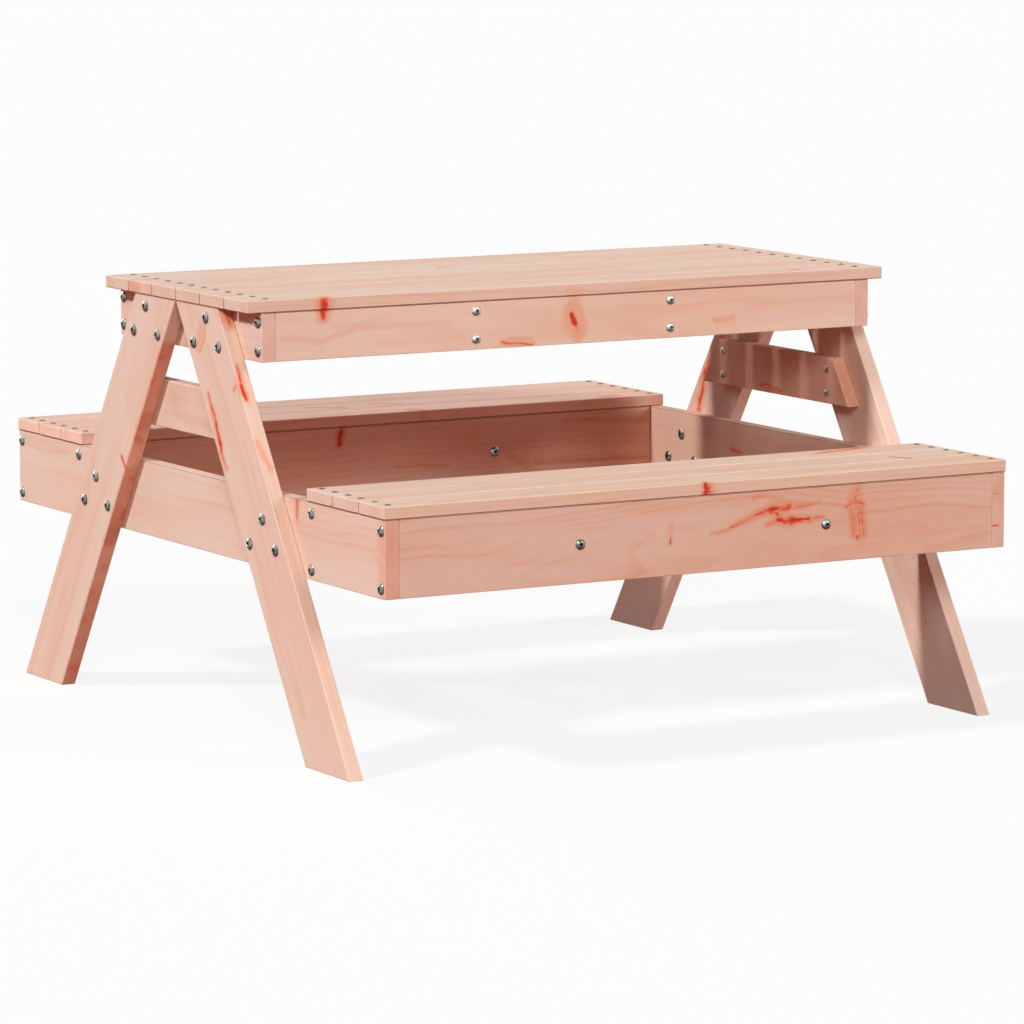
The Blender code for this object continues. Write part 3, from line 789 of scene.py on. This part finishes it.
# Braces
# A 58 mm board, cut at a slant at both ends, is screwed to the inside of each pair of legs, halfway up.
brace_marks = {
    "leg_brace_right": [
        ((None, 33, 355), (None, 14, 360), 3.0, 3.5, 0.3, 0.20),
        ((None, 14, 360), (None, -16, 353), 3.5, 3.5, 0.3, 0.20),
        ((None, 22, 354), (None, -4, 353), 6.0, 6.0, 0.3, -0.1)],
}
# The right brace's umber tint is painted shade: darker and redder than the left one.
for side, tint in (("left", "pale"), ("right", "umber")):
    name = f"leg_brace_{side}"
    straight_board(name, across_table, along_table, tint, brace_marks.get(name, ()))


# Bolts
# Zinc-plated steel: a domed head with a hex socket outside each leg and a sleeve nut with the same dome
# inside the frame. Each dome is a warm mid grey with one highlight, painted brown shade on its lower side,
# and a socket painted dark as shade.
zinc_colour = "a8a5a1"
zinc_cloud_colour = "64615d"
# Painted brown shade on the zinc where its surface looks down.
zinc_shade_colour = "43352d"
zinc_patch = 0.006
zinc_detail = 2.0
zinc_clouds = {1: 0.35, 2: 0.70}
zinc_underside_shade = {1: -0.5, 2: 0.15, 3: 0.95, 4: 0.0}
zinc_gloss = {1: 0.3, 2: 0.7, 3: 0.20, 4: 0.32}
# The socket's black is painted shade in its deep recess.
socket_shade_colour = "16130f"
socket_gloss = {1: 0.3, 2: 0.7, 3: 0.45, 4: 0.65}
socket_detail = 1.0
socket_specular = 0.2
dome_sides = 32
dome_rings = 6
sharp_edge = math.radians(38)
bolt_socket = 0.0054
socket_depth_share = 0.5
socket_lip = 0.0003
socket_taper = 0.98
socket_corner_reach = 1.1
mesh_tolerance = 0.0001
merge_distance = 0.00001
head_rim = 0.0007
head_sink = 0.0002
bolt_radius = 0.003
bolt_head_height = 0.0031


def plated(name, clear_colour, cloud_colour, shade_colour):
    """Zinc plating: a warm grey metal with soft cloudy patches, and painted brown shade where it looks down.
    """
    material, tree = empty_material(name)
    here = add(tree, "ShaderNodeTexCoord").outputs["Object"]
    cloud = add(
        tree, "ShaderNodeTexNoise", {"Vector": here, "Scale": 1 / zinc_patch, "Detail": zinc_detail}
    ).outputs[0]
    share = add(tree, "ShaderNodeMapRange", {0: cloud, **zinc_clouds}, **smooth).outputs[0]
    colour = add(
        tree, "ShaderNodeMix", {0: share, 6: linear(clear_colour), 7: linear(cloud_colour)}, **coloured
    ).outputs[2]
    normal = add(tree, "ShaderNodeNewGeometry").outputs["Normal"]
    lift = add(tree, "ShaderNodeSeparateXYZ", {0: normal}).outputs[2]
    under = add(tree, "ShaderNodeMapRange", {0: lift, **zinc_underside_shade}, **smooth).outputs[0]
    colour = add(
        tree, "ShaderNodeMix", {0: under, 6: colour, 7: linear(shade_colour)}, **coloured
    ).outputs[2]
    gloss = add(tree, "ShaderNodeMapRange", {0: cloud, **zinc_gloss}, **smooth).outputs[0]
    surface = add(
        tree, "ShaderNodeBsdfPrincipled", {"Base Color": colour, "Metallic": 1.0, "Roughness": gloss}
    )
    add(tree, "ShaderNodeOutputMaterial", {"Surface": surface.outputs[0]})
    return material


def painted_socket(name, colour):
    """A driver socket painted one flat colour that stands for the light and shade in its recess."""
    material, tree = empty_material(name)
    here = add(tree, "ShaderNodeTexCoord").outputs["Object"]
    cloud = add(
        tree, "ShaderNodeTexNoise", {"Vector": here, "Scale": 1 / zinc_patch, "Detail": socket_detail}
    ).outputs[0]
    gloss = add(tree, "ShaderNodeMapRange", {0: cloud, **socket_gloss}, **smooth).outputs[0]
    surface = add(tree, "ShaderNodeBsdfPrincipled", {
        "Base Color": linear(colour), "Metallic": 0.0, "Roughness": gloss,
        "Specular IOR Level": socket_specular,
    })
    add(tree, "ShaderNodeOutputMaterial", {"Surface": surface.outputs[0]})
    return material


bolt_steel = (
    plated("zinc plated steel", zinc_colour, zinc_cloud_colour, zinc_shade_colour),
    painted_socket("socket painted black as shade", socket_shade_colour),
)


def dome_profile(radius, height, socket):
    """(distance from the axis, height) from the middle of the socket out over the dome to the rim."""
    depth = height * socket_depth_share
    rise = height - head_rim
    sphere = (radius ** 2 + rise ** 2) / (2 * rise)
    middle = height - sphere
    edge = socket / 2
    first = math.asin((edge + socket_lip) / sphere)
    last = math.asin(radius / sphere)
    crown = middle + sphere * math.cos(first)
    points = [
        (0.0, height - depth - socket_lip),
        (edge * socket_taper, height - depth),
        (edge, crown - socket_lip),
    ]
    for i in range(dome_rings + 1):
        angle = first + (last - first) * i / dome_rings
        points.append((sphere * math.sin(angle), middle + sphere * math.cos(angle)))
    points.append((radius, -head_sink))
    return points


def turned(profile, socket):
    """A mesh turned about Z from (radius, height) points, with its socket pressed to a hexagon in the
    socket's painted colour.
    """
    shape = bmesh.new()
    corners = [shape.verts.new((radius, 0, height)) for radius, height in profile]
    edges = [shape.edges.new(pair) for pair in zip(corners, corners[1:])]
    bmesh.ops.spin(
        shape, geom=corners + edges, cent=(0, 0, 0), axis=(0, 0, 1), dvec=(0, 0, 0),
        angle=2 * math.pi, steps=dome_sides, use_merge=True, use_duplicate=False,
    )
    bmesh.ops.remove_doubles(shape, verts=shape.verts, dist=merge_distance)
    rim = socket / 2 + mesh_tolerance
    in_socket = {v for v in shape.verts if v.co.xy.length < rim and abs(v.co.z) > head_sink}
    for face in shape.faces:
        face.material_index = 1 if in_socket.issuperset(face.verts) else 0
    sixth = math.pi / 3
    for corner in in_socket:
        if corner.co.xy.length > mesh_tolerance:
            angle = (math.atan2(corner.co.y, corner.co.x) + sixth / 2) % sixth - sixth / 2
            corner.co.xy *= math.cos(sixth / 2) / math.cos(angle) * socket_corner_reach
    bmesh.ops.recalc_face_normals(shape, faces=shape.faces)
    mesh = bpy.data.meshes.new("turned")
    shape.to_mesh(mesh)
    shape.free()
    return mesh


def fastening(name, pattern, places, steel, replaced=None):
    """One piece of one or more like fasteners. A place is (point, the way the head looks, twist)."""
    shape = bmesh.new()
    for point, outward, twist in places:
        before = len(shape.verts)
        shape.from_mesh(pattern)
        shape.verts.ensure_lookup_table()
        turn = Vector(outward).to_track_quat("Z", "Y").to_matrix().to_4x4()
        spin = Matrix.Rotation(twist, 4, "Z")
        place = Matrix.Translation(point) @ turn @ spin
        bmesh.ops.transform(shape, matrix=place, verts=shape.verts[before:])
    mesh = bpy.data.meshes.new(name)
    shape.to_mesh(mesh)
    shape.free()
    mesh.shade_smooth()
    mesh.set_sharp_from_angle(angle=sharp_edge)
    for material in steel:
        mesh.materials.append(material)
    piece = bpy.data.objects.new(name, mesh)
    bpy.context.scene.collection.objects.link(piece)
    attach(piece, "root")
    if replaced:
        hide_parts(replaced)


twist_draw = random.Random(5)
for name in sorted(n for n in nodes if n.startswith("bolt_")):
    low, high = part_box(name)
    radius = (high.y - low.y) / 2
    middle = (low + high) / 2
    outer = dome_profile(radius, bolt_head_height, bolt_socket)
    grip = high.x - low.x - 2 * bolt_head_height
    near_end = [(r, z + grip / 2) for r, z in outer]
    far_end = [(r, -z - grip / 2) for r, z in reversed(outer)]
    shank = [(bolt_radius, grip / 2 - head_sink), (bolt_radius, -grip / 2 + head_sink)]
    pattern = turned(near_end + shank + far_end, bolt_socket)
    outward = Vector((math.copysign(1, middle.x), 0, 0))
    fastening("turned_" + name, pattern, [(middle, outward, twist_draw.uniform(0, 1))], bolt_steel, name)
    bpy.data.meshes.remove(pattern)


# Domed wood screws
# Zinc-plated screws with a low dome and a hex socket, driven through the aprons and the long bench
# boards into the cross bars and spacers, through the end boards at each corner, and through the braces
# into the legs. Those that hold the cross bars get a lighter copy of the same zinc and a grey socket, both
# painted light.
lit_zinc_colour = "e0deda"
lit_zinc_cloud_colour = "b9b6b1"
lit_zinc_shade_colour = "7d756e"
# A grey socket, painted as light, for the cross bar screws.
lit_socket_colour = "55504c"
screw_head_height = 0.0034
screw_shank_radius = 0.0019
screw_length = 0.030
screw_point = 0.006
screw_socket = 0.0044
corner_head = 0.0069
crossbar_head = 0.0059
outer_spacer_head = 0.0063
brace_head = 0.0044
brace_head_height = 0.0011
brace_socket = 0.0034
apron_screw_drops = (0.0115, 0.0448)
apron_screw_inset = 0.0085
bench_screw_drops = (0.0128, 0.0782)
brace_screw_y = 0.1205
brace_screw_drops = (0.0145, 0.0447)
ends = (("left", -1), ("right", 1))
benches = (("front", -1), ("rear", 1))


def screws(name, radius, height, socket, length, points, outward, steel=bolt_steel):
    """A group of like domed screws whose heads all look the same way."""
    head = dome_profile(radius, height, socket)
    shank = [(screw_shank_radius, -head_sink), (screw_shank_radius, screw_point - length), (0.0, -length)]
    pattern = turned(head + shank, socket)
    fastening(name, pattern, [(point, outward, twist_draw.uniform(0, 1)) for point in points], steel)
    bpy.data.meshes.remove(pattern)


def large_screws(name, radius, points, outward, steel=bolt_steel):
    """The larger of the two kinds, with a 4.4 mm socket."""
    screws(name, radius, screw_head_height, screw_socket, screw_length, points, outward, steel)


# A lighter copy of the same zinc, painted light, with a grey socket and its own painted underside shade.
lit_zinc_steel = (
    plated("zinc painted lighter", lit_zinc_colour, lit_zinc_cloud_colour, lit_zinc_shade_colour),
    painted_socket("socket painted grey as light", lit_socket_colour),
)
apron_low, apron_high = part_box("table_apron_front")
end_low, end_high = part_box("table_end_board_right")
crossbar_x = (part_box("table_crossbar_2")[0].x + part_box("table_crossbar_2")[1].x) / 2
levels = [apron_high.z - drop for drop in apron_screw_drops]
corner_y = end_high.y - apron_screw_inset
for side, sign in ends:
    points = [(sign * end_high.x, y, z) for y in (-corner_y, corner_y) for z in levels]
    large_screws(f"apron_corner_screws_{side}", corner_head, points, (sign, 0, 0))
for bench, sign in benches:
    points = [(x, sign * -apron_low.y, z) for x in (-crossbar_x, crossbar_x) for z in levels]
    large_screws(f"{bench}_crossbar_screws", crossbar_head, points, (0, sign, 0), lit_zinc_steel)

bench_low, bench_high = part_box("bench_end_board_right")
inner_low, inner_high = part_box("rear_bench_inner_board")
outer_low, outer_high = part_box("rear_bench_outer_board")
spacer_low, spacer_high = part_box("rear_bench_spacer_right")
levels = [bench_high.z - drop for drop in bench_screw_drops]
rows = [(low.y + high.y) / 2 for low, high in ((inner_low, inner_high), (outer_low, outer_high))]
for side, sign in ends:
    points = [(sign * bench_high.x, s * y, z) for s in (-1, 1) for y in rows for z in levels]
    large_screws(f"bench_corner_screws_{side}", corner_head, points, (sign, 0, 0))
spacer_x = (spacer_low.x + spacer_high.x) / 2
spacer_level = (bench_low.z + bench_high.z) / 2
for bench, sign in benches:
    outer_points = [(x, sign * outer_high.y, spacer_level) for x in (-spacer_x, spacer_x)]
    inner_points = [(x, sign * inner_low.y, spacer_level) for x in (-spacer_x, spacer_x)]
    large_screws(f"{bench}_outer_spacer_screws", outer_spacer_head, outer_points, (0, sign, 0))
    large_screws(f"{bench}_inner_spacer_screws", corner_head, inner_points, (0, -sign, 0))
brace_low, brace_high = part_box("leg_brace_right")
levels = [brace_high.z - drop for drop in brace_screw_drops]
for side, sign in ends:
    points = [(sign * brace_low.x, y, z) for y in (-brace_screw_y, brace_screw_y) for z in levels]
    name = f"brace_screws_{side}"
    screws(name, brace_head, brace_head_height, brace_socket, screw_length, points, (-sign, 0, 0))


# Slat screws
# Two small domed screws of the same zinc-plated steel hold each end of every slat. They go down through
# the slat into the end board and stand a little inward of its middle.
slat_screw_head = 0.0037
slat_screw_height = 0.0014
slat_screw_socket = 0.0044
slat_screw_length = 0.032
slat_screw_inward = 0.0025
slat_screw_spread = 0.0155
screw_x = (end_low.x + end_high.x) / 2 - slat_screw_inward
for side, sign in ends:
    for group, count in (("table", 6), ("front_bench", 3), ("rear_bench", 3)):
        points = []
        for number in range(1, count + 1):
            low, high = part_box(f"{group}_slat_{number}")
            middle_y = (low.y + high.y) / 2
            points += [(sign * screw_x, middle_y + s * slat_screw_spread, high.z) for s in (-1, 1)]
        screws(
            f"{group}_slat_screws_{side}", slat_screw_head, slat_screw_height, slat_screw_socket,
            slat_screw_length, points, upward,
        )
